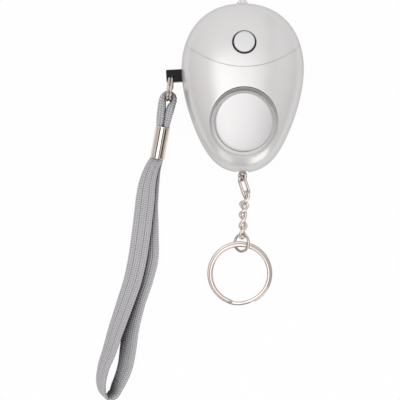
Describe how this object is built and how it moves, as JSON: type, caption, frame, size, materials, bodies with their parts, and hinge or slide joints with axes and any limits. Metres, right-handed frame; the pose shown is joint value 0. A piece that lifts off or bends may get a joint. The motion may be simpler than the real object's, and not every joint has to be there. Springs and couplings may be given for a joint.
{
  "type": "personal safety alarm",
  "caption": "Egg-shaped personal alarm with a round speaker, torch button and light, a pull pin on a grey wrist strap, and a chain with a split key ring.",
  "frame": {"origin": "on the flat back face, under the middle of the case's widest line", "axes": "+X right across the front, +Y along the case towards the light, +Z out of the front; the case lies on its back face at Z = 0"},
  "size_m": [0.079, 0.1518, 0.0219],
  "materials": {
    "case": "satin silver lacquer over moulded plastic",
    "horn": "satin silver",
    "round_cover": "satin silver",
    "button": "satin",
    "black_plastic": "fine",
    "board": "solder mask",
    "brass": "plain",
    "ceramic": "fired",
    "red_wire": "plain",
    "lens": "clear",
    "steel": "plain",
    "ferrite": "sintered",
    "copper": "enamelled",
    "blue_sleeve": "sleeve",
    "nickel": "bright nickel plate",
    "strap": "braided flat strap"
  },
  "bodies": {
    "housing": {"front_shell": "case", "upper_cover": "case", "rear_shell": "case", "horn_ring": "horn", "speaker_cover": "round_cover", "piezo_plate": "brass", "piezo_ceramic": "ceramic", "piezo_wire_red": "red_wire", "piezo_wire_black": "black_plastic", "circuit_board": "board", "switch_body": "black_plastic", "led_lens": "lens", "led_leads": "steel", "control_chip": "black_plastic", "coil_core": "ferrite", "coil_winding": "copper", "capacitor": "blue_sleeve", "transistor": "black_plastic", "resistors": "black_plastic", "contact_upper": "brass", "contact_lower": "brass", "battery_tray": "black_plastic", "battery_cell_left": "steel", "battery_cell_right": "steel", "battery_cell_low": "steel", "battery_plus": "steel", "battery_minus": "steel", "battery_link_top": "steel", "battery_link_bottom": "steel", "case_screws": "steel", "board_screws": "steel", "chain_eye": "nickel"},
    "torch_button": {"torch_button": "button", "switch_plunger": "black_plastic"},
    "pull_pin": {"pull_pin": "black_plastic"},
    "strap_ring": {"strap_ring": "nickel"},
    "strap": {"strap_ferrule": "nickel", "strap_top_loop": "strap", "strap_wrist_loop": "strap"},
    "chain_link_1": {"chain_link_1": "nickel"},
    "chain_link_2": {"chain_link_2": "nickel"},
    "chain_link_3": {"chain_link_3": "nickel"},
    "chain_link_4": {"chain_link_4": "nickel"},
    "chain_link_5": {"chain_link_5": "nickel"},
    "end_ring": {"end_ring": "nickel"},
    "key_ring": {"key_ring": "nickel"}
  },
  "joints": [
    {"name": "torch_button_press", "type": "slide", "parent": "housing", "child": "torch_button", "axis": [0, 0, -1], "range_m": [0, 0.0006], "stiffness_N_per_m": 800, "springref_m": -0.0003},
    {"name": "pin_pull", "type": "slide", "parent": "housing", "child": "pull_pin", "axis": [-0.9986, -0.0523, 0], "range_m": [0, 0.015]},
    {"name": "ring_swing", "type": "hinge", "parent": "pull_pin", "child": "strap_ring", "pos_m": [-0.02677, -0.00435, 0.009], "axis": [0, 0, 1], "range_deg": [-60, 10]},
    {"name": "strap_lift", "type": "hinge", "parent": "strap_ring", "child": "strap", "pos_m": [-0.02728, -0.00867, 0.009], "axis": [-0.9932, 0.1167, 0], "range_deg": [0, 80]},
    {"name": "link_1_swing", "type": "hinge", "parent": "housing", "child": "chain_link_1", "pos_m": [-0.00013, -0.04294, 0.00889], "axis": [0.7609, -0.1153, 0.6385], "range_deg": [-40, 40]},
    {"name": "link_2_swing", "type": "hinge", "parent": "chain_link_1", "child": "chain_link_2", "pos_m": [0.00152, -0.04899, 0.00569], "axis": [0.7443, 0.1424, -0.6524], "range_deg": [-40, 40]},
    {"name": "link_3_swing", "type": "hinge", "parent": "chain_link_2", "child": "chain_link_3", "pos_m": [0.00084, -0.05274, 0.00414], "axis": [0.607, -0.2397, 0.7577], "range_deg": [-40, 40]},
    {"name": "link_4_swing", "type": "hinge", "parent": "chain_link_3", "child": "chain_link_4", "pos_m": [0.00045, -0.05676, 0.00318], "axis": [0.7342, 0.1062, -0.6706], "range_deg": [-40, 40]},
    {"name": "link_5_swing", "type": "hinge", "parent": "chain_link_4", "child": "chain_link_5", "pos_m": [0.00055, -0.06087, 0.00264], "axis": [0.691, -0.0103, 0.7228], "range_deg": [-40, 40]},
    {"name": "end_ring_swing", "type": "hinge", "parent": "chain_link_5", "child": "end_ring", "pos_m": [0.00027, -0.065, 0.00284], "axis": [0.7158, -0.0752, -0.6943], "range_deg": [-30, 30]},
    {"name": "key_ring_lift", "type": "hinge", "parent": "end_ring", "child": "key_ring", "pos_m": [0.00001, -0.06751, 0.00284], "axis": [-0.9986, 0.0523, 0], "range_deg": [-30, 70]}
  ]
}
